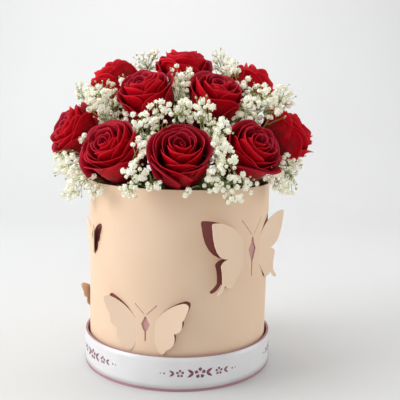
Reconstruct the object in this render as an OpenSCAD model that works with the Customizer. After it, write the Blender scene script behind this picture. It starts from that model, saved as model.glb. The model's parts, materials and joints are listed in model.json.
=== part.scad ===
// Flower box: a round tray, a bucket wrapped in a die-cut sleeve with folding
// butterfly wings, and a lift-out arrangement of roses and gypsophila in foam.
// Azimuth 0 faces -Y, the front of the box, and grows towards +X.

/* [Box] */
// Outer radius of the sleeve
sleeve_r = 90; // [88:0.5:92]
// Height of the sleeve's top edge above the table
sleeve_top = 184.5; // [180:0.5:190]
// Thickness of the sleeve and of its wings
board_t = 0.8; // [0.6:0.1:1.4]
// Outer radius of the tray
tray_r = 94.3; // [94.3:0.1:98]
// Height of the tray's rim
tray_h = 32.7; // [28:0.1:32.7]
// Thickness of the tray's wall
tray_t = 2; // [1:0.1:2]
// Thickness of the tray's floor and the bucket's floor
floor_t = 2.5; // [2:0.1:3]

/* [Ribbon] */
// Width of the satin ribbon
ribbon_w = 29.7; // [20:0.1:29.7]
// Thickness of the ribbon
ribbon_t = 0.5; // [0.3:0.1:0.6]
// Bare tray left under the ribbon
ribbon_z = 2.8; // [1:0.1:2.8]
// Arc of the ribbon's glued lap
lap_angle = 12; // [8:1:20]

/* [Bucket] */
// Radial gap between the sleeve and the bucket it wraps
bucket_gap = 0.3; // [0.3:0.1:1]
// Thickness of the bucket's wall
bucket_t = 2; // [1.5:0.1:2.5]
// Drop from the sleeve's top edge to the bucket's
bucket_drop = 0.5; // [0.5:0.5:6]

/* [Arrangement] */
// Height of the foam's top face
foam_top = 146; // [135:1:150]
// Height of a rose head, from its base to its face
head_h = 56; // [50:1:58]
// Radius of a rose stem
stem_r = 2.6; // [2:0.1:3]
// Depth of a stem in the foam
stem_depth = 45; // [30:5:60]
// Radius of a gypsophila stem
twig_r = 1.1; // [0.8:0.1:1.4]

/* [Hidden] */

$fn = 96;
slip = 0.3; // running clearance between loose pieces
glue = 0.1; // thickness of a glued lap's adhesive
cut = 1; // how far a cutting solid runs past a face

bucket_r = sleeve_r - board_t - bucket_gap;
bucket_z = floor_t + slip;
bucket_top = sleeve_top - bucket_drop;
liner_r = bucket_r - bucket_t - 2 * slip;
liner_t = 0.8;
liner_z = bucket_z + floor_t + slip;
liner_top = foam_top + 16;
foam_r = liner_r - liner_t - 2;

paper = [0.90, 0.79, 0.70];
mauve = [0.60, 0.38, 0.41];
satin = [0.95, 0.95, 0.96];
crimson = [0.62, 0.02, 0.08];
leaf_green = [0.27, 0.40, 0.18];
foam_green = [0.16, 0.33, 0.20];
film = [0.85, 0.90, 0.90];
cream = [0.95, 0.94, 0.86];

// A wing outline is a closed path of curves. Each entry is a point and the control
// point of the curve to the next one, as [distance from the body's line, height].
SCALLOPED = [
  [[9, 10.4], [20, 25.5]],
  [[36.4, 30], [42.8, 30]],
  [[41, 24.4], [39.2, 18]],
  [[35.3, 12.2], [36.8, 3]],
  [[27.7, 0.2], [31, -11]],
  [[20.3, -16.2], [18, -21]],
  [[15.4, -20.2], [11.5, -19]],
  [[9, -10.2], [9, 0]]
];
SWALLOWTAIL = [
  [[13.5, 14.5], [24, 27]],
  [[36, 31], [47, 35.4]],
  [[57.5, 35.4], [60.2, 35.2]],
  [[59, 31], [55.5, 1.5]],
  [[35.5, -0.3], [43.5, -0.8]],
  [[45.1, -5.6], [42.4, -13]],
  [[42.8, -22.5], [45, -26.5]],
  [[49.4, -29.4], [49.8, -32.6]],
  [[46.4, -31.6], [41, -29.5]],
  [[38.5, -24], [35, -28.5]],
  [[28.5, -28], [24, -24]],
  [[19.4, -18], [15, -14]],
  [[13.5, -10], [13.5, 0]]
];
// The body is cut right out: its half outline from head to tail, as [half width, height].
SCALLOPED_BODY = [[0.9, 13.7], [2, 10.6], [4.2, 6.6], [2.6, 2.2], [0.8, -0.6], [0.6, -9.4]];
SWALLOWTAIL_BODY = [[0.8, 16.2], [2.2, 13.4], [2, 11.6], [5.9, 4.7], [3.4, -2], [0.9, -6.7], [0.7, -21.3]];
// Each kind: wing path, body, the two ends of its antenna, how far out its wing's middle is.
KINDS = [
  [SCALLOPED, SCALLOPED_BODY, [1.2, 15.8], [10.8, 25.1], 24],
  [SWALLOWTAIL, SWALLOWTAIL_BODY, [2.2, 19], [16.4, 33.6], 32]
];
seam_t = 0.4;
seam_azimuth = -140;
seam_angle = 6;
antenna_w = 0.6;
curve_steps = 6;
punch_depth = 12; // deep enough for the wall's curve across a wing
wing_gap = 0.45; // gap between a wing's edge and its cut-out
min_mitre = 0.4; // limits how far a sharp corner moves

// Each butterfly: letter, kind, azimuth of its body, height, size, and how far its left
// and right wings stand folded out from the plane that touches the sleeve at their folds.
BUTTERFLIES = [
  ["a", 0, -19, 53.9, 1, [6, 6]],
  ["b", 1, 50, 121.5, 1, [4, 4]],
  ["c", 0, -70, 128, 0.62, [3, 16]],
  ["d", 0, -103, 57.5, 0.58, [28, 28]],
  ["e", 1, 168, 120, 1, [4, 4]],
  ["f", 0, 119, 72, 0.55, [25, 25]]
];

// Each rose: azimuth and reach of its face's centre, its height, its lean from
// upright, the azimuth it leans to, and the radius of its face.
ROSES = [
  [172, 8, 308, 6, 0, 28],
  [-112, 82, 291, 32, -112, 26],
  [-47, 53, 279, 32, -35, 29],
  [45, 50, 279, 30, 26, 28],
  [112, 84, 291, 32, 112, 26],
  [-80, 115, 237, 60, -64, 29],
  [-44, 99, 225, 50, -38, 30],
  [0, 95, 225, 46, 0, 30],
  [45, 100, 228, 50, 36, 28],
  [82, 117, 241, 50, 84, 28],
  [127, 104, 230, 54, 127, 29],
  [180, 103, 227, 52, 178, 30],
  [-127, 104, 229, 54, -128, 29],
  [180, 66, 281, 34, 180, 28]
];
head_base_r = 7;
calyx_h = 6;
foot_pull = 0.72; // how far in a stem's foot stands, against the head's base
sepals = 5;

// The sprays of gypsophila stand in the gaps between the roses.
SPRAY_AZIMUTHS = [-69, -23, 24, 71, 100, 153, -153, -107];
spray_reach = [62, 76]; // reach of a spray's high ball and of its low ball
spray_z = [222, 200]; // their heights
spray_r = [9, 5.5]; // their radii
spray_foot = 56; // reach of the twig's foot
knuckle = 1.25; // a bend's ball against its stem, in radii

// A point on the quadratic curve from a to b with control point c.
function curve_point(a, c, b, t) = (1 - t) * (1 - t) * a + 2 * t * (1 - t) * c + t * t * b;
// The points of a closed path of such curves.
function outline(path) = [
  for (i = [0:len(path) - 1])
    for (k = [0:curve_steps - 1])
      curve_point(path[i][0], path[i][1], path[(i + 1) % len(path)][0], k / curve_steps)
];
function unit(v) = v / norm(v);
// The points of a clockwise polygon, moved so that each edge is d further in.
function inset(points, d) = [
  for (i = [0:len(points) - 1])
    let (
      arriving = unit(points[i] - points[(i + len(points) - 1) % len(points)]),
      leaving = unit(points[(i + 1) % len(points)] - points[i]),
      along = unit(arriving + leaving),
      reach = d / max(norm(arriving + leaving) / 2, min_mitre)
    )
    points[i] + reach * [along[1], -along[0]]
];
// A half outline and its mirror image, as one closed polygon.
function mirrored(half) = concat(half, [for (i = [len(half) - 1:-1:0]) [-half[i][0], half[i][1]]]);
// The angle that an arc length of the sleeve covers.
function arc_angle(s) = s / sleeve_r * 180 / PI;
// A point of the flat pattern, as seen square on from the arc position mid.
function facing(p, mid) = [sleeve_r * sin(arc_angle(p[0] - mid)), p[1]];
// A point at an azimuth, a distance from the box's axis and a height.
function place(azimuth, reach, z) = [reach * sin(azimuth), -reach * cos(azimuth), z];
// The direction that leans from upright towards an azimuth.
function lean_dir(lean, azimuth) = [sin(lean) * sin(azimuth), -sin(lean) * cos(azimuth), cos(lean)];

function rose_face(r) = place(r[0], r[1], r[2]);
function rose_base(r) = rose_face(r) - head_h * lean_dir(r[3], r[4]);
function rose_foot(r) = let (b = rose_base(r)) [b[0] * foot_pull, b[1] * foot_pull, foam_top - stem_depth];

// A ring round the box's axis.
module ring(r, t, z, h) {
  translate([0, 0, z])
    difference() {
      cylinder(r = r, h = h);
      translate([0, 0, -cut]) cylinder(r = r - t, h = h + 2 * cut);
    }
}

// An arc of a ring, centred on an azimuth.
module ring_arc(r, t, z, h, azimuth, angle) {
  rotate([0, 0, azimuth - 90 - angle / 2])
    translate([0, 0, z])
      rotate_extrude(angle = angle)
        translate([r - t, 0])
          square([t, h]);
}

// A solid along the line from a to b: its children stand on +Z.
module aim(a, b) {
  d = b - a;
  translate(a)
    rotate([0, acos(d[2] / norm(d)), atan2(d[1], d[0])])
      children();
}

module rod(a, b, r) {
  aim(a, b) cylinder(r = r, h = norm(b - a), $fn = 24);
}

// Stands a flat pattern upright at an azimuth, facing outwards, its front at y = 0.
module upright(azimuth) {
  rotate([0, 0, azimuth])
    rotate([90, 0, 0])
      children();
}

// Cuts a flat pattern through the sleeve, square on to the arc position mid.
module punch(b, points, mid, side) {
  upright(b[2] + side * arc_angle(mid))
    translate([0, b[3], sleeve_r - punch_depth])
      linear_extrude(punch_depth + cut)
        polygon([for (p = points) let (q = facing(p, mid)) [side * q[0], q[1]]]);
}

module butterfly_cutouts(b) {
  kind = KINDS[b[1]];
  size = b[4];
  wing = [for (p = outline(kind[0])) size * p];
  middle = size * kind[4];
  a0 = size * kind[2];
  a1 = size * kind[3];
  across = antenna_w / 2 * unit([a0[1] - a1[1], a1[0] - a0[0]]);
  for (side = [-1, 1]) {
    punch(b, wing, middle, side);
    punch(b, [a0 - across, a1 - across, a1 + across, a0 + across], (a0[0] + a1[0]) / 2, side);
  }
  punch(b, [for (p = mirrored(kind[1])) size * p], 0, 1);
}

// One wing: a flat plate that folds about a line on the sleeve's outer face.
module wing(b, side) {
  kind = KINDS[b[1]];
  size = b[4];
  fold = size * kind[0][0][0][0];
  rest = b[5][side < 0 ? 0 : 1];
  plate = inset([for (p = outline(kind[0])) size * p], wing_gap);
  color(paper)
    upright(b[2] + side * arc_angle(fold))
      translate([0, b[3], sleeve_r])
        rotate([0, -side * rest, 0])
          translate([0, 0, -board_t])
            linear_extrude(board_t)
              polygon([for (p = plate) [side * (p[0] - fold), p[1]]]);
}

module tray_floor() {
  color(mauve) cylinder(r = tray_r - tray_t, h = floor_t);
}

module tray_wall() {
  color(mauve) ring(tray_r, tray_t, 0, tray_h);
}

module ribbon() {
  color(satin) ring(tray_r + ribbon_t, ribbon_t, ribbon_z, ribbon_w);
}

module ribbon_lap() {
  color(satin) ring_arc(tray_r + 2 * ribbon_t + glue, ribbon_t, ribbon_z, ribbon_w, 180, lap_angle);
}

module sleeve() {
  color(paper)
    difference() {
      ring(sleeve_r, board_t, floor_t + slip, sleeve_top - floor_t - slip);
      for (b = BUTTERFLIES) butterfly_cutouts(b);
    }
}

// The outer layer of the sleeve's glued lap, at the back.
module sleeve_seam() {
  color(paper)
    ring_arc(sleeve_r + seam_t + glue, seam_t, tray_h + 1, sleeve_top - tray_h - 1, seam_azimuth, seam_angle);
}

module bucket_wall() {
  color(mauve) ring(bucket_r, bucket_t, bucket_z, bucket_top - bucket_z);
}

module bucket_floor() {
  color(mauve)
    translate([0, 0, bucket_z])
      cylinder(r = bucket_r - bucket_t, h = floor_t);
}

// A thin waterproof cup that holds the wet foam.
module liner() {
  color(film)
    difference() {
      translate([0, 0, liner_z]) cylinder(r = liner_r, h = liner_top - liner_z);
      translate([0, 0, liner_z + liner_t]) cylinder(r = liner_r - liner_t, h = liner_top);
    }
}

module foam() {
  color(foam_green)
    translate([0, 0, liner_z + liner_t])
      cylinder(r = foam_r, h = foam_top - liner_z - liner_t);
}

// A rose head: a cup of petals that flares to a wide, slightly domed face.
module rose(r) {
  face_r = r[5];
  color(crimson)
    aim(rose_base(r), rose_face(r))
      rotate_extrude()
        polygon([
          [0, 0], [head_base_r, 0], [0.52 * face_r, 0.14 * head_h], [0.74 * face_r, 0.36 * head_h],
          [0.82 * face_r, 0.68 * head_h], [face_r, 0.95 * head_h], [0.94 * face_r, head_h],
          [0, head_h]
        ]);
}

// A stem with the calyx and sepals that carry the rose head.
module rose_stem(r) {
  base = rose_base(r);
  axis = lean_dir(r[3], r[4]);
  neck = base - calyx_h * axis;
  color(leaf_green) {
    rod(rose_foot(r), neck, stem_r);
    translate(neck) sphere(r = knuckle * stem_r, $fn = 24);
    aim(neck, base) {
      rotate_extrude()
        polygon([[0, 0], [stem_r, 0], [head_base_r - 1, 0.5 * calyx_h], [head_base_r, calyx_h], [0, calyx_h]]);
      for (k = [0:sepals - 1])
        rotate([0, 0, k * 360 / sepals])
          translate([head_base_r - 2, 0, 0.55 * calyx_h])
            rotate([0, 62, 0])
              linear_extrude(0.8)
                polygon([[0, -3], [7, -2.6], [14, 0], [7, 2.6], [0, 3]]);
    }
  }
}

// A spray of gypsophila: two balls of blossom on a forked twig.
module gypsophila(azimuth) {
  fork = place(azimuth, spray_foot, foam_top + stem_depth / 2);
  color(cream) {
    rod(place(azimuth, spray_foot, foam_top - stem_depth / 2), fork, twig_r);
    translate(fork) sphere(r = knuckle * twig_r, $fn = 24);
    for (i = [0:1]) {
      ball = place(azimuth, spray_reach[i], spray_z[i]);
      rod(fork, ball, twig_r);
      translate(ball) sphere(r = spray_r[i], $fn = 32);
    }
  }
}

tray_floor();
tray_wall();
ribbon();
ribbon_lap();
sleeve();
sleeve_seam();
bucket_wall();
bucket_floor();
liner();
foam();
for (b = BUTTERFLIES) {
  wing(b, -1);
  wing(b, 1);
}
for (i = [0:len(ROSES) - 1]) {
  number = str(i < 9 ? "0" : "", i + 1);
  rose(ROSES[i]);
  rose_stem(ROSES[i]);
}
for (i = [0:len(SPRAY_AZIMUTHS) - 1]) {
  gypsophila(SPRAY_AZIMUTHS[i]);
}
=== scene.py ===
"""Flower box: paper sleeve with folding butterflies, ribboned tray, roses and gypsophila.

Lengths are metres in the part's own frame. Azimuth 0 faces -Y and grows towards +X.
"""
import json
import math

import bmesh
import bpy
import numpy as np
from mathutils import Matrix, Vector


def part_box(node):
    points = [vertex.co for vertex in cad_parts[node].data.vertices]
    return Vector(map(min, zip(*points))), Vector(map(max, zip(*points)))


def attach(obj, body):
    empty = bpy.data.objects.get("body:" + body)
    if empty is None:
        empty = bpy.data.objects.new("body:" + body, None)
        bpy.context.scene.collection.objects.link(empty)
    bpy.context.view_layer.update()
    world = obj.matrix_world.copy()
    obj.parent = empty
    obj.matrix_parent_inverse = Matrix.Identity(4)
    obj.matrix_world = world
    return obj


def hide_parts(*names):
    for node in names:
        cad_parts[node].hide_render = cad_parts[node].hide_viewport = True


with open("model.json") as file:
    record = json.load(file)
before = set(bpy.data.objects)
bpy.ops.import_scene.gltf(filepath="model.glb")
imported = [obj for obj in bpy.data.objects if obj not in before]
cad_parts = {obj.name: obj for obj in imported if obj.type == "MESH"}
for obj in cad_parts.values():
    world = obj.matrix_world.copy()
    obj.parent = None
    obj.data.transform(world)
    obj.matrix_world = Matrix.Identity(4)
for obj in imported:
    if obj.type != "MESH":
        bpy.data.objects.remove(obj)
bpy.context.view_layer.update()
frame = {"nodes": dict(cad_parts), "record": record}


MM = 0.001
GOLDEN = math.radians(137.508)

# ---------------------------------------------------------------- camera and light

VIEW_TARGET_Z = 0.100
VIEW_ELEVATION = math.radians(13.4)
VIEW_DISTANCE = 0.6735
CAMERA_PITCH = math.radians(8.05)  # below the horizon
CAMERA_YAW = math.radians(-1.79)
CAMERA_ROLL = math.radians(1.30)
LENS_MM = 58.5
SENSOR_MM = 36.0


def make_camera():
    data = bpy.data.cameras.new("camera")
    data.lens = LENS_MM
    data.sensor_width = SENSOR_MM
    data.clip_start = 0.02
    data.clip_end = 20
    cam = bpy.data.objects.new("camera", data)
    turn = (
        Matrix.Rotation(CAMERA_YAW, 4, "Z")
        @ Matrix.Rotation(math.pi / 2 - CAMERA_PITCH, 4, "X")
        @ Matrix.Rotation(CAMERA_ROLL, 4, "Z")
    )
    place = Vector((
        0,
        -VIEW_DISTANCE * math.cos(VIEW_ELEVATION),
        VIEW_TARGET_Z + VIEW_DISTANCE * math.sin(VIEW_ELEVATION),
    ))
    cam.matrix_world = Matrix.Translation(place) @ turn
    bpy.context.scene.collection.objects.link(cam)
    bpy.context.scene.camera = cam


def area_light(name, place, target, size, power, color):
    data = bpy.data.lights.new(name, "AREA")
    data.shape = "RECTANGLE"
    data.size, data.size_y = size
    data.energy = power
    data.color = color
    light = bpy.data.objects.new(name, data)
    light.location = place
    light.rotation_euler = (Vector(target) - Vector(place)).to_track_quat("-Z", "Y").to_euler()
    bpy.context.scene.collection.objects.link(light)


WORLD_COLOR = (0.95, 0.97, 1.0, 1)
WORLD_STRENGTH = 0.54
LIGHT_TARGET = (0, 0, 0.16)
# Each area light: name, place, target, size, power in watts and colour.
LIGHTS = (
    ("key", (-1.35, -0.35, 0.75), LIGHT_TARGET, (0.9, 0.9), 15, (0.98, 1.0, 1.01)),
    ("fill", (1.4, 0.0, 0.5), LIGHT_TARGET, (0.8, 0.8), 5.2, (1.0, 0.99, 0.97)),
    ("top", (-0.3, 0.1, 1.5), LIGHT_TARGET, (0.9, 0.9), 7, (1, 1, 1)),
    ("backdrop", (-0.1, 0.75, 1.6), (0.2, 1.6, 0.7), (1.8, 0.5), 10.5, (1.0, 1.0, 1.0)),
)


def make_studio():
    world = bpy.data.worlds.new("studio")
    bpy.context.scene.world = world
    world.use_nodes = True
    background = world.node_tree.nodes["Background"]
    background.inputs["Color"].default_value = WORLD_COLOR
    background.inputs["Strength"].default_value = WORLD_STRENGTH
    for light in LIGHTS:
        area_light(*light)
    bpy.context.scene.view_settings.view_transform = "Standard"


FLOOR_HALF = 3.0
BACKDROP_Y = 1.6
BACKDROP_TOP = 2.4
SWEEP_R = 0.8
SWEEP_STEPS = 16


def make_floor():
    """A pale table that sweeps up into the backdrop."""
    profile = [(-FLOOR_HALF, 0.0), (BACKDROP_Y - SWEEP_R, 0.0)]
    for i in range(1, SWEEP_STEPS + 1):
        a = math.pi / 2 * i / SWEEP_STEPS
        y = BACKDROP_Y - SWEEP_R + SWEEP_R * math.sin(a)
        profile.append((y, SWEEP_R - SWEEP_R * math.cos(a)))
    profile.append((BACKDROP_Y, BACKDROP_TOP))
    verts = [(x, y, z) for y, z in profile for x in (-FLOOR_HALF, FLOOR_HALF)]
    faces = [(2 * i, 2 * i + 1, 2 * i + 3, 2 * i + 2) for i in range(len(profile) - 1)]
    floor = mesh_object("floor", verts, faces, [pale_floor()])


# ---------------------------------------------------------------- node helpers


class Shader:
    """Short calls for building one node material."""

    def __init__(self, name):
        self.material = bpy.data.materials.new(name)
        self.material.use_nodes = True
        self.tree = self.material.node_tree
        self.bsdf = self.tree.nodes["Principled BSDF"]

    def node(self, kind, **settings):
        node = self.tree.nodes.new(kind)
        for key, value in settings.items():
            setattr(node, key, value)
        return node

    def link(self, source, target):
        self.tree.links.new(source, target)

    def fill(self, socket, value):
        if isinstance(value, bpy.types.NodeSocket):
            self.link(value, socket)
        elif isinstance(value, tuple) and len(value) == 3 and socket.type == "RGBA":
            socket.default_value = (*value, 1)
        else:
            socket.default_value = value

    def set(self, **values):
        """Sets the Principled shader's own sockets: set(Roughness=0.5)."""
        for key, value in values.items():
            self.fill(self.bsdf.inputs[key.replace("_", " ")], value)

    def place(self):
        return self.node("ShaderNodeTexCoord").outputs["Object"]

    def scaled(self, vector, scale):
        node = self.node("ShaderNodeVectorMath", operation="MULTIPLY")
        self.link(vector, node.inputs[0])
        node.inputs[1].default_value = scale
        return node.outputs[0]

    def noise(self, vector, scale, detail=3.0, rough=0.5, distortion=0.0):
        node = self.node("ShaderNodeTexNoise")
        self.link(vector, node.inputs["Vector"])
        node.inputs["Scale"].default_value = scale
        node.inputs["Detail"].default_value = detail
        node.inputs["Roughness"].default_value = rough
        node.inputs["Distortion"].default_value = distortion
        return node.outputs["Fac"]

    def cells(self, vector, scale):
        node = self.node("ShaderNodeTexVoronoi")
        self.link(vector, node.inputs["Vector"])
        node.inputs["Scale"].default_value = scale
        return node.outputs["Distance"]

    def attribute(self, name):
        return self.node("ShaderNodeAttribute", attribute_name=name).outputs["Fac"]

    def math(self, operation, a, b=0.5):
        node = self.node("ShaderNodeMath", operation=operation)
        self.fill(node.inputs[0], a)
        self.fill(node.inputs[1], b)
        return node.outputs[0]

    def spread(self, value, low, high, to_low=0.0, to_high=1.0):
        """Maps low..high to to_low..to_high, clamped."""
        node = self.node("ShaderNodeMapRange")
        self.fill(node.inputs["Value"], value)
        limits = {"From Min": low, "From Max": high, "To Min": to_low, "To Max": to_high}
        for key, number in limits.items():
            node.inputs[key].default_value = number
        return node.outputs["Result"]

    def mix(self, factor, a, b):
        node = self.node("ShaderNodeMix", data_type="RGBA")
        self.fill(node.inputs[0], factor)
        self.fill(node.inputs[6], a)
        self.fill(node.inputs[7], b)
        return node.outputs[2]

    def bump(self, height, strength, distance):
        node = self.node("ShaderNodeBump")
        self.link(height, node.inputs["Height"])
        node.inputs["Strength"].default_value = strength
        node.inputs["Distance"].default_value = distance
        self.link(node.outputs[0], self.bsdf.inputs["Normal"])


# ---------------------------------------------------------------- materials


def pale_floor():
    """Plain studio paper with a faint drift of tone."""
    s = Shader("pale_floor")
    tone = s.noise(s.place(), 2.0, 2)
    s.set(Base_Color=s.mix(tone, (0.66, 0.66, 0.65), (0.71, 0.71, 0.70)), Roughness=0.55)
    return s.material


BODY_AZIMUTHS = (-19, 50, -70, -103, 119, 168)  # of the six butterflies, in degrees
BODY_ARC = (5.0, 6.2)  # degrees from a body's line where its painted light ends


def body_light_mask(s, place):
    """Painted light and shade: 1 behind the butterflies' bodies, where the lining is painted lit,
    and 0 behind their wings, where it is painted in their shadow.
    """
    split = s.node("ShaderNodeSeparateXYZ")
    s.link(place, split.inputs[0])
    azimuth = s.math("ARCTAN2", split.outputs["X"], s.math("MULTIPLY", split.outputs["Y"], -1.0))
    found = 0.0
    for degrees in BODY_AZIMUTHS:
        away = s.math("ABSOLUTE", s.math("SUBTRACT", azimuth, math.radians(degrees)))
        near = s.spread(away, math.radians(BODY_ARC[0]), math.radians(BODY_ARC[1]), 1.0, 0.0)
        found = s.math("MAXIMUM", near, found)
    return found


def board(name, light, dark, body_light_tone=None):
    """Paper-covered board: faint clouding, fine fibres and a soft matte face.

    body_light_tone is painted light: the paler colour behind the butterflies' bodies, while the
    board's own colours stand for the wings' painted shadow."""
    s = Shader(name)
    place = s.place()
    cloud = s.noise(place, 14, 4)
    fibres = s.noise(s.scaled(place, (1, 1, 0.25)), 2600, 3, 0.6)
    tone = s.math("ADD", s.math("MULTIPLY", cloud, 0.75), s.math("MULTIPLY", fibres, 0.25))
    base = s.mix(s.spread(tone, 0.35, 0.65), dark, light)
    # Painted light: the board is paler behind the butterflies' bodies and keeps its darker colours,
    # painted wing shadow, elsewhere.
    if body_light_tone:
        base = s.mix(body_light_mask(s, place), base, body_light_tone)
    s.set(
        Base_Color=base,
        Roughness=s.spread(fibres, 0.3, 0.7, 0.62, 0.80),
        Specular_IOR_Level=0.35,
    )
    s.bump(fibres, 0.5, 0.12 * MM)
    return s.material


def satin():
    """White satin ribbon: fine warp threads that give a soft lengthways gloss."""
    s = Shader("satin")
    place = s.place()
    threads = s.noise(s.scaled(place, (1, 1, 24)), 900, 2, 0.4)
    cloud = s.noise(place, 30, 2)
    s.set(
        Base_Color=s.mix(s.spread(cloud, 0.3, 0.7), (0.76, 0.74, 0.745), (0.84, 0.83, 0.83)),
        Roughness=s.spread(threads, 0.3, 0.7, 0.26, 0.38),
        Specular_IOR_Level=0.9,
        Sheen_Weight=0.25,
    )
    s.bump(threads, 0.25, 0.08 * MM)
    return s.material


def printed_ink():
    """Burgundy ink, a little uneven where it lies on the threads."""
    s = Shader("printed_ink")
    wear = s.spread(s.noise(s.place(), 700, 3), 0.3, 0.7)
    s.set(Base_Color=s.mix(wear, (0.20, 0.045, 0.075), (0.30, 0.09, 0.13)), Roughness=0.5)
    return s.material


def petal(name, deep, bright, rim, gloss):
    """Velvety petal, veined: darker towards its foot, which is painted shade deep in the rose, with
    a thin paler rim, which is a painted highlight.
    """
    s = Shader(name)
    place = s.place()
    along = s.attribute("along")
    across = s.attribute("across")
    mottle = s.noise(place, 160, 4)
    veins = s.noise(place, 1100, 2)
    # Painted shade: the colour darkens towards the petal's foot, deep in the rose.
    depth = s.math("ADD", along, s.math("MULTIPLY", s.math("SUBTRACT", mottle, 0.5), 0.6))
    body = s.mix(s.spread(depth, 0.45, 1.0), deep, bright)
    # Painted highlight: a thin paler line along the petal's rim and sides.
    edge = s.math("MAXIMUM", s.spread(along, 0.975, 1.0), s.spread(across, 0.97, 1.0, 0.0, 0.6))
    s.set(
        Base_Color=s.mix(s.math("MULTIPLY", edge, 0.45), body, rim),
        Roughness=s.spread(mottle, 0.3, 0.7, gloss, gloss + 0.14),
        Specular_IOR_Level=0.14,
        Subsurface_Weight=0.08,
        Subsurface_Radius=(0.004, 0.0003, 0.0003),
    )
    s.bump(s.math("ADD", veins, mottle), 0.18, 0.3 * MM)
    return s.material


def green(name, light, dark):
    """A stem or bud, finely streaked along its height."""
    s = Shader(name)
    place = s.place()
    streak = s.noise(s.scaled(place, (1, 1, 0.2)), 500, 3)
    s.set(
        Base_Color=s.mix(s.spread(streak, 0.3, 0.7), dark, light),
        Roughness=0.5,
        Subsurface_Weight=0.05,
        Subsurface_Radius=(0.001, 0.002, 0.0005),
    )
    s.bump(streak, 0.3, 0.2 * MM)
    return s.material


def blossom_white():
    """Tiny creamy petals, greener in the heart of each blossom."""
    s = Shader("blossom_white")
    heart = s.attribute("along")
    tint = s.noise(s.place(), 120, 2)
    base = s.mix(s.spread(tint, 0.3, 0.7), (0.91, 0.90, 0.74), (0.98, 0.965, 0.86))
    s.set(
        Base_Color=s.mix(s.spread(heart, 0.0, 0.35), (0.62, 0.66, 0.36), base),
        Roughness=0.65,
        Subsurface_Weight=0.35,
        Subsurface_Radius=(0.003, 0.003, 0.0025),
        # Painted light: a faint warm glow that brightens the blossoms.
        Emission_Color=(1.0, 0.96, 0.80),
        Emission_Strength=0.11,
    )
    return s.material


def foam_block():
    """Wet floral foam, dark green and full of fine pores."""
    s = Shader("foam_block")
    place = s.place()
    pores = s.cells(place, 900)
    # The pores are darker: painted shade in them.
    s.set(
        Base_Color=s.mix(s.spread(pores, 0.1, 0.6), (0.02, 0.07, 0.03), (0.06, 0.17, 0.08)),
        Roughness=0.85,
    )
    s.bump(pores, 0.6, 0.6 * MM)
    return s.material


def liner_film():
    """Thin cloudy film with soft wrinkles."""
    s = Shader("liner_film")
    wrinkle = s.noise(s.place(), 60, 4, 0.6, 0.6)
    s.set(Base_Color=(0.55, 0.60, 0.58), Roughness=0.22, Specular_IOR_Level=0.6, Alpha=0.6)
    s.bump(wrinkle, 0.5, 1 * MM)
    return s.material


# ---------------------------------------------------------------- mesh helpers


def mesh_object(name, verts, faces, materials, attributes=None):
    """A linked mesh object. attributes maps a name to one number per vertex."""
    mesh = bpy.data.meshes.new(name)
    mesh.from_pydata([tuple(v) for v in verts], [], [tuple(f) for f in faces])
    for material in materials:
        mesh.materials.append(material)
    for key, values in (attributes or {}).items():
        layer = mesh.attributes.new(key, "FLOAT", "POINT")
        layer.data.foreach_set("value", np.asarray(values, np.float32))
    mesh.polygons.foreach_set("use_smooth", [True] * len(mesh.polygons))
    mesh.update()
    obj = bpy.data.objects.new(name, mesh)
    bpy.context.scene.collection.objects.link(obj)
    return obj


class Builder:
    """Collects patches of vertices, faces, material slots and attributes into one mesh."""

    def __init__(self, *names):
        self.verts, self.faces, self.slots = [], [], []
        self.values = {name: [] for name in names}
        self.count = 0

    def add(self, verts, faces, slot=0, **values):
        start = self.count
        self.faces.extend([tuple(start + i for i in face) for face in faces])
        self.slots.extend([slot] * len(faces))
        self.verts.append(verts)
        for name, column in self.values.items():
            column.append(np.broadcast_to(values[name], len(verts)))
        self.count += len(verts)

    def object(self, name, materials):
        attributes = {key: np.concatenate(column) for key, column in self.values.items()}
        obj = mesh_object(name, np.concatenate(self.verts), self.faces, materials, attributes)
        obj.data.polygons.foreach_set("material_index", self.slots)
        return obj


def grid_faces(rows, columns):
    """Quads of a rows by columns grid of vertices."""
    r, c = np.meshgrid(np.arange(rows - 1), np.arange(columns - 1), indexing="ij")
    first = (r * columns + c).ravel()
    return np.stack([first, first + 1, first + columns + 1, first + columns], 1).tolist()


def axes_for(direction):
    """A rotation whose third column is the direction."""
    w = np.asarray(direction, float)
    w = w / np.linalg.norm(w)
    side = np.array([1.0, 0, 0]) if abs(w[2]) > 0.9 else np.array([0, 0, 1.0])
    u = np.cross(side, w)
    u /= np.linalg.norm(u)
    return np.stack([u, np.cross(w, u), w], 1)


def tube(builder, path, radii, sides=6, **values):
    """A closed tube along a path of points."""
    path = np.asarray(path, float)
    count = len(path)
    ring = np.linspace(0, 2 * math.pi, sides, endpoint=False)
    basis = axes_for(path[-1] - path[0])
    offsets = np.outer(np.cos(ring), basis[:, 0]) + np.outer(np.sin(ring), basis[:, 1])
    radii = np.broadcast_to(radii, count)
    verts = (path[:, None, :] + radii[:, None, None] * offsets[None]).reshape(-1, 3)
    verts = np.vstack([verts, path[0], path[-1]])
    low, high, last = count * sides, count * sides + 1, (count - 1) * sides
    faces = []
    for k in range(sides):
        n = (k + 1) % sides
        faces.extend((i + k, i + n, i + n + sides, i + k + sides) for i in range(0, last, sides))
        faces.append((low, n, k))
        faces.append((high, last + k, last + n))
    builder.add(verts, faces, **values)


def bend_path(a, b, c, count):
    """Points on the quadratic curve from a to c with control point b."""
    t = np.linspace(0, 1, count)[:, None]
    return (1 - t) ** 2 * a + 2 * t * (1 - t) * b + t ** 2 * c


def place_at(azimuth_deg, reach, z):
    a = math.radians(azimuth_deg)
    return np.array([reach * math.sin(a), -reach * math.cos(a), z])


# ---------------------------------------------------------------- roses


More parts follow.
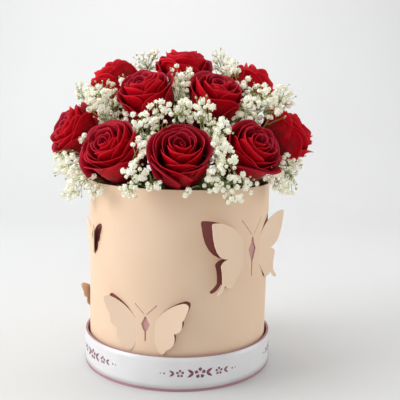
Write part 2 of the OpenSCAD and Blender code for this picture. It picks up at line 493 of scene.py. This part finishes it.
def rose_axis(node):
    """Base point, axis, height and face radius of a rose head's solid of revolution."""
    mesh = frame["nodes"][node].data
    mesh.calc_loop_triangles()
    co = np.array([v.co for v in mesh.vertices])
    tri = co[np.array([t.vertices for t in mesh.loop_triangles])]
    area = np.linalg.norm(np.cross(tri[:, 1] - tri[:, 0], tri[:, 2] - tri[:, 0]), axis=1)
    middle = tri.mean(1)
    centre = (middle * area[:, None]).sum(0) / area.sum()
    away = middle - centre
    spread = (away * area[:, None]).T @ away
    values, vectors = np.linalg.eigh(spread)
    gaps = np.abs(values - values[1])
    axis = vectors[:, 0] if gaps[0] > gaps[2] else vectors[:, 2]
    along = (co - centre) @ axis
    radius = np.linalg.norm(co - centre - np.outer(along, axis), axis=1)
    if along[radius.argmax()] < 0:
        axis, along = -axis, -along
    return centre + along.min() * axis, axis, along.max() - along.min(), radius.max()


PETALS = 27
PETAL_ROWS = 18
PETAL_COLUMNS = 17
PETAL_T = 0.4 * MM
HEAD_GROWTH = 1.08  # the petals' tips reach past the head's own face
FACE_GROWTH = 0.97  # the rolled rims widen the head again


def bezier(p0, p1, p2, p3, u):
    """A cubic curve's points and unit tangents; u is an array, the points are (r, z)."""
    u = u[..., None]
    w = 1 - u
    points = w ** 3 * p0 + 3 * w ** 2 * u * p1 + 3 * w * u ** 2 * p2 + u ** 3 * p3
    slope = 3 * w ** 2 * (p1 - p0) + 6 * w * u * (p2 - p1) + 3 * u ** 2 * (p3 - p2)
    return points, slope / np.maximum(np.linalg.norm(slope, axis=-1, keepdims=True), 1e-9)


def petal_patch(rng, q, height, face_r, turn):
    """One petal as a grid. q is 0 for the innermost petal and 1 for the outermost."""
    S, T = np.meshgrid(np.linspace(-1, 1, PETAL_COLUMNS), np.linspace(0, 1, PETAL_ROWS))
    outer = min(max((q - 0.6) / 0.4, 0), 1)
    inner = min(q / 0.35, 1)
    wobble = rng.standard_normal(6)
    rim_r = face_r * (0.05 + 0.86 * q ** 0.78 + 0.035 * wobble[0] * q)
    dome = 0.06 * math.sin(math.pi * min(q / 0.75, 1)) - 0.06 * outer ** 2
    rim_z = height * (0.93 + dome + 0.018 * wobble[1])
    foot = np.array([face_r * (0.04 + 0.15 * q), height * (0.10 - 0.08 * q)])
    belly = np.array([face_r * (0.10 + 0.86 * q), height * 0.20])
    shoulder = np.array([rim_r - face_r * (0.02 + 0.04 * q), height * 0.68])
    rim = np.array([rim_r, rim_z])
    # A broad rounded edge: the sides of the petal are shorter than its middle.
    short = 0.08 + 0.20 * q + 0.03 * wobble[2]
    reach = 1 - short * np.abs(S) ** 3 + 0.012 * np.sin(5 * S + 3 * wobble[3])
    points, slope = bezier(foot, belly, shoulder, rim, T * reach)
    # The rim rolls out on the outer petals and leans in over the heart.
    late = np.clip((T - 0.70) / 0.30, 0, 1)
    roll = face_r * (-0.035 * (1 - inner) + 0.06 * q + 0.11 * outer ** 1.3 * (1 + 0.4 * wobble[4]))
    side_roll = face_r * 0.07 * outer * np.abs(S) ** 2.5 * (1 + 0.4 * wobble[5] * np.sign(S))
    out = (roll + side_roll) * late ** 2
    down = face_r * (0.02 * q + 0.09 * outer ** 1.5) * late ** 3.5
    R = points[..., 0] + slope[..., 1] * out
    Z = points[..., 1] - slope[..., 0] * out - down
    # One side tucks under the next petal, which makes the heart's spiral.
    R = R + (0.05 + 0.05 * q) * face_r * (1 - 0.4 * outer) * S * np.clip(T * 1.6, 0, 1)
    phase = rng.random(3) * 2 * math.pi
    ripple = 0.6 * np.sin(3.1 * S + phase[0]) + 0.4 * np.sin(6.3 * S + phase[1])
    R = R + (0.006 + 0.022 * q) * face_r * ripple * T ** 3
    Z = Z + (0.004 + 0.014 * q) * height * np.sin(4.3 * S + phase[2]) * T ** 4
    cupped = 0.02 * q * face_r * np.cos(S * math.pi / 2) * np.sin(T * math.pi)
    R = np.maximum(R + cupped, 0.012 * face_r)
    half = math.radians(142 - 74 * inner - 12 * q + 5 * rng.standard_normal())
    width = 0.40 + 0.60 * np.sin(np.clip(T / 0.6, 0, 1) * math.pi / 2)
    theta = turn + S * half * width
    verts = np.stack([R * np.cos(theta), R * np.sin(theta), Z], -1).reshape(-1, 3)
    return verts, T.ravel(), np.abs(S).ravel()


def make_rose(node, bloom, seed):
    rng = np.random.default_rng(seed)
    base, axis, height, face_r = rose_axis(node)
    height *= HEAD_GROWTH
    face_r *= FACE_GROWTH
    builder = Builder("along", "across")
    faces = grid_faces(PETAL_ROWS, PETAL_COLUMNS)
    start = rng.random() * 2 * math.pi
    for i in range(PETALS):
        q = (i / (PETALS - 1)) ** 0.80
        turn = start + i * GOLDEN + 0.22 * rng.standard_normal()
        verts, along, across = petal_patch(rng, q, height, face_r, turn)
        builder.add(verts, faces, along=along, across=across)
    obj = builder.object(bloom, ROSE_MATERIALS)
    placing = np.eye(4)
    placing[:3, :3] = axes_for(axis)
    placing[:3, 3] = base
    obj.data.transform(Matrix(placing.tolist()))
    shell = obj.modifiers.new("thickness", "SOLIDIFY")
    shell.thickness = PETAL_T
    shell.offset = 0
    shell.material_offset = 1
    shell.material_offset_rim = 0
    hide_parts(node)
    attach(obj, "arrangement")


# ---------------------------------------------------------------- gypsophila


def blossom_patch(rng):
    """A ruffled ball of tiny petals of radius 1, with its stalk at -Z."""
    verts, faces, along = [], [], []
    rings, sides = (-0.85, -0.45, 0.05, 0.5, 0.85), 7
    for lift in rings:
        for k in range(sides):
            a = 2 * math.pi * (k + 0.5 * lift) / sides
            reach = 0.74 + 0.07 * rng.standard_normal()
            ring = math.sqrt(1 - lift * lift)
            verts.append(reach * np.array([ring * math.cos(a), ring * math.sin(a), lift]))
            along.append(0.0 if lift < -0.6 else 0.6)
    for row in range(len(rings) - 1):
        for k in range(sides):
            n = (k + 1) % sides
            low, high = row * sides, (row + 1) * sides
            faces.append((low + k, low + n, high + n, high + k))
    faces.append(tuple(range((len(rings) - 1) * sides, len(rings) * sides)))
    faces.append(tuple(range(sides - 1, -1, -1)))
    petals = 15
    for i in range(petals):
        lift = 1 - 1.55 * (i + 0.5) / petals  # from the crown to the stalk
        ring = math.sqrt(max(1 - lift * lift, 0))
        a = i * GOLDEN + 0.3 * rng.standard_normal()
        out = np.array([ring * math.cos(a), ring * math.sin(a), lift])
        basis = axes_for(out)
        twist = rng.random() * math.pi
        u = basis[:, 0] * math.cos(twist) + basis[:, 1] * math.sin(twist)
        v = np.cross(out, u)
        half = 0.40 + 0.14 * rng.random()
        far = 0.88 + 0.22 * rng.random()
        start = len(verts)
        for reach, wide, shade in ((0.55, 0.6, 0.6), (0.85 * far, 1.0, 0.8), (far, 0.7, 1.0)):
            for side in (-1, 0, 1):
                curl = 0.5 * abs(side) * (shade - 0.5)
                dip = 0.10 * shade * (side == 0)
                verts.append(out * (reach - dip) + u * half * wide * side + v * half * curl)
                along.append(shade)
        faces.extend((start + f, start + f + 1, start + f + 4, start + f + 3) for f in (0, 1, 3, 4))
    return np.array(verts), faces, np.array(along)


def bud_patch():
    """A small closed bud of radius 1 that points to +Z."""
    rings = ((0.05, -1.0), (0.8, -0.45), (0.95, 0.2), (0.45, 0.85), (0.02, 1.25))
    sides = 6
    verts = [
        (r * math.cos(2 * math.pi * k / sides), r * math.sin(2 * math.pi * k / sides), z)
        for r, z in rings for k in range(sides)
    ]
    faces = []
    for low in range(0, (len(rings) - 1) * sides, sides):
        high = low + sides
        for k in range(sides):
            n = (k + 1) % sides
            faces.append((low + k, low + n, high + n, high + k))
    return np.array(verts), faces


# Each spray's clouds of blossom: azimuth, reach, height, radius (mm) and how many blossoms.
SPRAYS = {
    "gypsophila_1": (-69, [
        (-66, 84, 262, 17, 44), (-78, 96, 268, 10, 14),
        (-66, 111, 198, 15, 30), (-56, 106, 187, 12, 18),
        (-73, 117, 206, 10, 14), (-46, 106, 180, 8, 8), (-62, 96, 222, 10, 8),
    ]),
    "gypsophila_2": (-23, [
        (-21, 106, 201, 12, 18), (-21, 92, 220, 12, 14),
        (-13, 103, 191, 7, 7), (-13, 87, 255, 10, 11),
        (-21, 101, 245, 8, 8), (0, 70, 254, 14, 20), (0, 28, 283, 15, 20),
    ]),
    "gypsophila_3": (24, [
        (18, 95, 220, 13, 20), (20, 104, 203, 13, 22), (16, 102, 191, 8, 9), (23, 102, 212, 10, 10),
        (20, 101, 240, 9, 9), (13, 86, 256, 10, 12), (3, 99, 184, 4, 2), (24, 104, 187, 7, 6),
        (31, 106, 195, 8, 8), (37, 104, 188, 7, 5),
    ]),
    "gypsophila_4": (71, [
        (65, 83, 268, 14, 26), (79, 100, 271, 10, 14), (52, 80, 260, 10, 12), (66, 96, 257, 11, 14),
        (85, 107, 266, 7, 7), (74, 110, 208, 13, 20), (55, 106, 194, 11, 14), (80, 117, 208, 9, 9),
    ]),
    "gypsophila_5": (100, [
        (112, 41, 301, 13, 22), (90, 48, 296, 9, 11),
        (98, 105, 215, 14, 18), (97, 100, 264, 11, 14),
        (100, 104, 192, 8, 7),
    ]),
    "gypsophila_6": (153, [
        (153, 98, 214, 15, 24), (150, 88, 256, 16, 28),
        (162, 58, 284, 13, 14), (150, 106, 193, 9, 8),
    ]),
    "gypsophila_7": (-153, [
        (-153, 98, 214, 15, 24), (-150, 88, 256, 16, 28),
        (-158, 60, 284, 13, 14), (-150, 106, 193, 9, 8),
    ]),
    "gypsophila_8": (-107, [
        (-120, 41, 301, 13, 20), (-118, 32, 310, 4, 3),
        (-100, 104, 214, 14, 18), (-106, 100, 256, 12, 14),
        (-104, 104, 192, 8, 7),
    ]),
}
# More clouds in the gaps: deep between the roses, and low where they hang over the rim.
FILLERS = {
    "gypsophila_1": [(-62, 68, 240, 20, 34), (-84, 62, 270, 17, 26), (-66, 112, 176, 10, 12)],
    "gypsophila_2": [(-22, 66, 232, 20, 34), (-25, 26, 272, 16, 24), (-24, 110, 184, 9, 10)],
    "gypsophila_3": [(22, 66, 234, 20, 34), (25, 26, 274, 16, 24), (26, 108, 180, 9, 10)],
    "gypsophila_4": [(64, 68, 242, 20, 34), (84, 62, 272, 17, 26), (66, 110, 184, 11, 14)],
    "gypsophila_5": [(104, 72, 250, 20, 28), (130, 50, 282, 15, 18), (92, 114, 196, 10, 12)],
    "gypsophila_6": [
        (152, 74, 240, 22, 40), (168, 94, 203, 14, 24),
        (150, 98, 200, 14, 22), (176, 42, 262, 18, 26),
        (140, 108, 192, 10, 12), (158, 106, 236, 10, 12),
    ],
    "gypsophila_7": [
        (-152, 74, 240, 22, 40), (-165, 94, 203, 14, 24),
        (-150, 98, 200, 14, 22), (-170, 44, 262, 16, 20),
        (-140, 108, 192, 10, 12), (-160, 106, 236, 10, 12),
    ],
    "gypsophila_8": [(-104, 72, 250, 20, 28), (-130, 50, 282, 15, 18), (-96, 114, 192, 10, 12)],
}
SPRAY_FOOT_REACH = 56 * MM
SPRAY_FOOT_Z = 124 * MM
FORK_Z = 168 * MM
RIM_R = 90 * MM
RIM_TOP = 184.5 * MM
BUCKET_INSIDE = 80 * MM
LOW_CLOUD_Z = 205  # clouds below this height in mm hang over the rim
MIDDLE = np.array([0, 0, 0.22])  # the blossoms face away from here
TOP_LIMIT = 0.318
TWIG_SHADE = 0.5  # fills "along" on twigs and buds; only the blossoms' material reads it
# A rose head's radius along its height, as shares of both.
HEAD_HEIGHTS = (0, 0.14, 0.36, 0.68, 0.9, 1)
HEAD_RADII = (0.25, 0.52, 0.74, 0.84, 1, 0.9)


def inside_something(point, margin, roses):
    """Whether a blossom here would sink into a rose, the sleeve or the bucket."""
    reach = math.hypot(point[0], point[1])
    if point[2] < RIM_TOP + margin and BUCKET_INSIDE < reach < RIM_R + margin:
        return True
    for base, axis, height, face_r in roses:
        along = float((point - base) @ axis)
        if -margin < along < height + margin:
            radius = np.linalg.norm(point - base - along * axis)
            profile = face_r * float(np.interp(along / height, HEAD_HEIGHTS, HEAD_RADII))
            if radius < profile + 0.55 * margin:
                return True
    return False


def make_spray(node, roses, seed):
    """One spray: its stems, then clouds of blossoms and buds on fine twigs."""
    rng = np.random.default_rng(seed)
    azimuth, clouds = SPRAYS[node]
    builder = Builder("along")
    kinds = [blossom_patch(rng) for _ in range(5)]
    bud_verts, bud_faces = bud_patch()
    foot = place_at(azimuth, SPRAY_FOOT_REACH, SPRAY_FOOT_Z)
    fork = place_at(azimuth, SPRAY_FOOT_REACH, FORK_Z)
    twig = {"slot": 1, "along": TWIG_SHADE}
    tube(builder, [foot, (foot + fork) / 2, fork], 1.0 * MM, **twig)
    for cloud_azimuth, reach, z, radius, count in clouds + FILLERS[node]:
        centre = place_at(cloud_azimuth, reach * MM, z * MM)
        spread = radius * MM
        # The stem comes up between the roses, and over the rim for the lowest clouds.
        over = (90 * MM, 0.196) if z < LOW_CLOUD_Z else (64 * MM, 0.205)
        passing = place_at((azimuth + cloud_azimuth) / 2, *over)
        hub = centre + (passing - centre) * 0.8 * spread / np.linalg.norm(passing - centre)
        stem = bend_path(fork, passing, hub, 7)
        tube(builder, stem, np.linspace(0.8, 0.45, 7) * MM, **twig)
        hubs = max(2, count // 6)
        side_hubs = [hub + 0.45 * spread * rng.standard_normal(3) for _ in range(hubs)]
        for side_hub in side_hubs:
            branch = bend_path(hub, (hub + side_hub) / 2, side_hub, 3)
            tube(builder, branch, 0.35 * MM, 5, **twig)
        made = []
        for _ in range(count * 8):
            if len(made) == count:
                break
            offset = rng.standard_normal(3)
            offset *= rng.random() ** 0.33 / np.linalg.norm(offset)
            point = centre + offset * spread * (1.0, 1.0, 0.9)
            size = (1.9 + 2.1 * rng.random() ** 1.5) * MM
            crowded = any(np.linalg.norm(point - p) < 0.88 * (size + r) for p, r in made)
            if crowded or inside_something(point, size, roses):
                continue
            made.append((point, size))
        for point, size in made:
            source = min(side_hubs, key=lambda h: np.linalg.norm(h - point))
            rise = (point - source) / np.linalg.norm(point - source)
            face = rise + 0.5 * (point - MIDDLE) / np.linalg.norm(point - MIDDLE)
            turn = axes_for(face)
            verts, faces, along = kinds[rng.integers(len(kinds))]
            builder.add(point + size * verts @ turn.T, faces, along=along)
            end = point - turn[:, 2] * size * 0.5
            sag = (source + end) / 2 + 0.15 * np.linalg.norm(end - source) * rng.standard_normal(3)
            tube(builder, bend_path(source, sag, end, 4), 0.26 * MM, 4, **twig)
        for _ in range(max(2, int(count * 0.45))):
            offset = rng.standard_normal(3)
            offset *= (0.8 + 0.45 * rng.random()) / np.linalg.norm(offset)
            point = centre + offset * spread
            if inside_something(point, 2 * MM, roses) or point[2] > TOP_LIMIT:
                continue
            source = min(side_hubs, key=lambda h: np.linalg.norm(h - point))
            turn = axes_for(point - source)
            size = (0.7 + 0.6 * rng.random()) * MM
            builder.add(point + size * bud_verts @ turn.T, bud_faces, slot=2, along=TWIG_SHADE)
            stalk = bend_path(source, (source + point) / 2, point, 3)
            tube(builder, stalk, 0.20 * MM, 4, **twig)
    obj = builder.object("cloud_" + node[-1], SPRAY_MATERIALS)
    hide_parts(node)
    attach(obj, "arrangement")


# ---------------------------------------------------------------- paper wings

FLAP_GROW = 0.33 * MM  # closes most of the knife's gap round each wing
FLAP_T = 0.6 * MM
FLAP_HINGE_T = 0.05 * MM  # the card is creased thin at its fold
FOLD_EDGE = 0.7 * MM  # corners nearer the crease than this are drawn onto it
CREASE = 1.3 * MM  # how far out the card reaches its full thickness
STRIP = 4 * MM  # spacing of the cuts that let the card bend
FLAP_CURL = 0.9  # per metre: the tip springs a little further out


def make_flap(node, paper):
    """A card wing that springs from its crease, made over the CAD plate's own outline."""
    joint = next(j for j in frame["record"]["behaviour"]["joints"] if j["child"] == node)
    hinge = Vector(joint["pos_m"])
    radial = Vector((hinge.x, hinge.y, 0))
    mesh = bmesh.new()
    mesh.from_mesh(frame["nodes"][node].data)
    bmesh.ops.remove_doubles(mesh, verts=mesh.verts, dist=1e-6)
    bmesh.ops.dissolve_limit(mesh, angle_limit=math.radians(1), verts=mesh.verts, edges=mesh.edges)
    mesh.normal_update()
    face = max(mesh.faces, key=lambda f: (f.normal.dot(radial) > 0) * f.calc_area())
    normal = face.normal.copy()
    out = Vector((0, 0, 1)).cross(normal)
    if (face.calc_center_median() - hinge).dot(out) < 0:
        out = -out
    moves = []
    for v in mesh.verts:
        sides = [f.normal for f in v.link_faces if abs(f.normal.dot(normal)) < 0.5]
        mitre = max(1 + sides[0].dot(sides[-1]), 0.5)
        moves.append((v, (sides[0] + sides[-1]) * FLAP_GROW / mitre))
    for v, move in moves:
        v.co += move
        along = (v.co - hinge).dot(out)
        if along < FOLD_EDGE:
            v.co -= along * out
    reach = max((v.co - hinge).dot(out) for v in mesh.verts)
    cuts = [0.3 * CREASE, 0.6 * CREASE, CREASE, 2 * CREASE]
    cuts += [k * STRIP for k in range(1, int(reach / STRIP) + 1)]
    for cut in cuts:
        bmesh.ops.bisect_plane(
            mesh, geom=mesh.verts[:] + mesh.edges[:] + mesh.faces[:], dist=1e-6,
            plane_co=hinge + cut * out, plane_no=out,
        )
    for v in mesh.verts:
        along = (v.co - hinge).dot(out)
        depth = (v.co - hinge).dot(normal)
        if depth < -FLAP_T / 2:
            grown = FLAP_HINGE_T + (FLAP_T - FLAP_HINGE_T) * min(max(along, 0) / CREASE, 1)
            v.co -= (depth + grown) * normal
        v.co += FLAP_CURL * along * along * normal
    name = "flap" + node[4:]
    data = bpy.data.meshes.new(name)
    bmesh.ops.triangulate(mesh, faces=[f for f in mesh.faces if len(f.verts) > 4])
    mesh.to_mesh(data)
    mesh.free()
    data.materials.append(paper)
    data.shade_smooth()
    data.set_sharp_from_angle(angle=math.radians(30))
    flap = bpy.data.objects.new(name, data)
    bpy.context.scene.collection.objects.link(flap)
    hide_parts(node)
    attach(flap, node)


# ---------------------------------------------------------------- ribbon

LAP_AZIMUTH = 180
LAP_ARC = 12
LAP_RAMP = math.radians(4)  # the arc over which the band climbs onto its own start
RIBBON_T = 0.5 * MM
SATIN_T = 0.30 * MM
LAP_STEP = 0.6 * MM
PRINT_LIFT = 0.04 * MM
RIBBON_COLUMNS = 241
RIBBON_ROWS = 7
REPEATS = 5
REPEAT_AZIMUTH = 13


def ribbon_size():
    """Inner radius, foot and width of the ribbon's band."""
    low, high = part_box("ribbon")
    return high[0] - RIBBON_T, low[2], high[2] - low[2]


def make_ribbon():
    """One strip of satin round the tray, lapped over itself at the back."""
    inner, foot, width = ribbon_size()
    first = math.radians(LAP_AZIMUTH - LAP_ARC / 2)
    arc = 2 * math.pi + math.radians(LAP_ARC)
    turn = np.linspace(0, arc, RIBBON_COLUMNS)[None, :]
    up = np.linspace(0, 1, RIBBON_ROWS)[:, None]
    climb = np.clip((turn - 2 * math.pi + LAP_RAMP) / LAP_RAMP, 0, 1)
    # The woven edges press in a little, and the band is never quite even.
    edge = 0.12 * MM * np.abs(2 * up - 1) ** 3
    ripple = 0.05 * MM * np.sin(23 * turn) * np.sin(math.pi * up)
    radius = inner + RIBBON_T / 2 + LAP_STEP * climb - edge + ripple
    angle = first + turn + 0 * up
    z = foot + width * up + 0.10 * MM * np.sin(5 * turn) + 0 * radius
    verts = np.stack([radius * np.sin(angle), -radius * np.cos(angle), z], -1).reshape(-1, 3)
    faces = grid_faces(RIBBON_ROWS, RIBBON_COLUMNS)
    band = mesh_object("ribbon_band", verts, faces, [satin()])
    shell = band.modifiers.new("thickness", "SOLIDIFY")
    shell.thickness = SATIN_T
    shell.offset = 0
    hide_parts("ribbon", "ribbon_lap")
    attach(band, "tray")
    return band, (width, arc * (inner + RIBBON_T / 2))


# One printed repeat, in mm from its middle: flowers (x, radius), leaf pairs (x, length)
# and dots (x, radius).
FLOWERS = ((0, 5.4), (-18.5, 3.8), (18.5, 3.8))
LEAF_PAIRS = ((-9.5, 7.0), (9.5, 7.0), (-26.5, 5.2), (26.5, 5.2))
DOTS = ((-33, 0.9), (33, 0.9), (-36.5, 0.6), (36.5, 0.6))
FLOWER_PETALS = 5
LEAF_TILT = math.radians(34)


def make_print():
    """Small flowers and leaf pairs printed on the ribbon."""
    inner, foot, width = ribbon_size()
    face = inner + RIBBON_T + PRINT_LIFT
    middle = foot + width / 2
    builder = Builder()

    def blade(centre, x, z, tilt, length, widest, blunt):
        """A leaf or petal of ink from (x, z) towards tilt; blunt widens its far end."""
        t = np.linspace(0, 1, 10)
        half = widest / 2 * np.sin(math.pi * t ** blunt) + 0.03 * MM
        heading = np.array([math.cos(tilt), math.sin(tilt)])
        side = np.array([-heading[1], heading[0]])
        spine = np.array([x, z]) + np.outer(t * length, heading)
        flat = np.concatenate([spine + np.outer(half, side), spine - np.outer(half, side)])
        angle = math.radians(centre) + flat[:, 0] / face
        verts = np.stack([face * np.sin(angle), -face * np.cos(angle), middle + flat[:, 1]], -1)
        n = len(t)
        faces = [(i, i + n, i + n + 1, i + 1) for i in range(n - 1)]
        builder.add(verts, faces)

    for k in range(REPEATS):
        centre = REPEAT_AZIMUTH + k * 360 / REPEATS
        for x, radius in FLOWERS:
            for petal_number in range(FLOWER_PETALS):
                tilt = math.radians(90 + petal_number * 360 / FLOWER_PETALS)
                start = 0.22 * radius * MM
                reach = 0.78 * radius * MM
                foot_x = x * MM + start * math.cos(tilt)
                blade(centre, foot_x, start * math.sin(tilt), tilt, reach, 0.8 * reach, 1.5)
        for x, length in LEAF_PAIRS:
            outward = 0 if x > 0 else math.pi
            for tilt in (LEAF_TILT, -LEAF_TILT):
                start = (x - math.copysign(length / 2, x)) * MM
                blade(centre, start, 0, outward + tilt, length * MM, 0.36 * length * MM, 0.8)
        for x, radius in DOTS:
            blade(centre, (x - radius) * MM, 0, 0, 2 * radius * MM, 2 * radius * MM, 1.0)
    ink = builder.object("ribbon_sprigs", [printed_ink()])
    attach(ink, "tray")
    return ink


# ---------------------------------------------------------------- assembling the object


def dress_frame():
    """Gives the CAD nodes that stay their materials."""
    sleeve_paper = board("sleeve_paper", (0.88, 0.65, 0.465), (0.84, 0.605, 0.42))
    # The lining's two dark colours are painted shadow from the wings; its third, paler colour is
    # painted light behind the bodies.
    lining = board("mauve_board", (0.27, 0.080, 0.080), (0.22, 0.060, 0.060), (0.60, 0.31, 0.30))
    tray = board("tray_board", (0.50, 0.27, 0.30), (0.43, 0.22, 0.25))
    stem = green("stem_green", (0.16, 0.30, 0.06), (0.08, 0.19, 0.04))
    looks = {
        "sleeve": sleeve_paper, "bucket": lining, "tray": tray, "liner": liner_film(),
        "foam": foam_block(), "rose_stem": stem,
    }
    for name, obj in frame["nodes"].items():
        for start, material in looks.items():
            if name.startswith(start):
                obj.data.materials.clear()
                obj.data.materials.append(material)


ROSE_MATERIALS = [
    # Each: name, foot colour (painted shade), main colour, rim colour (painted highlight),
    # roughness.
    petal("petal_face", (0.085, 0.0, 0.003), (0.68, 0.0, 0.011), (0.70, 0.02, 0.045), 0.50),
    petal("petal_back", (0.08, 0.001, 0.006), (0.40, 0.005, 0.024), (0.58, 0.06, 0.10), 0.60),
]

SPRAY_MATERIALS = [
    blossom_white(),
    green("twig_green", (0.36, 0.42, 0.14), (0.20, 0.27, 0.07)),
    green("bud_green", (0.70, 0.72, 0.44), (0.34, 0.38, 0.16)),
]

make_camera()
make_studio()
make_floor()
dress_frame()
ROSE_NODES = sorted(n for n in frame["nodes"] if n.startswith("rose_") and "stem" not in n)
ROSE_SHAPES = [
    (base, axis, HEAD_GROWTH * height, FACE_GROWTH * face_r)
    for base, axis, height, face_r in map(rose_axis, ROSE_NODES)
]
for number, node in enumerate(ROSE_NODES):
    make_rose(node, f"bloom_{number + 1:02d}", 100 + number)
for number, node in enumerate(SPRAYS):
    make_spray(node, ROSE_SHAPES, 300 + number)

# The wings' paper is the sleeve's paper painted a little lighter: painted light on the lifted
# wings.
LIT_WING_PAPER = board("wing_paper", (0.90, 0.68, 0.50), (0.86, 0.635, 0.455))
for node in sorted(frame["nodes"]):
    if node.startswith("wing_"):
        make_flap(node, LIT_WING_PAPER)
BAND, BAND_FLAT = make_ribbon()
RIBBON_PRINT = make_print()
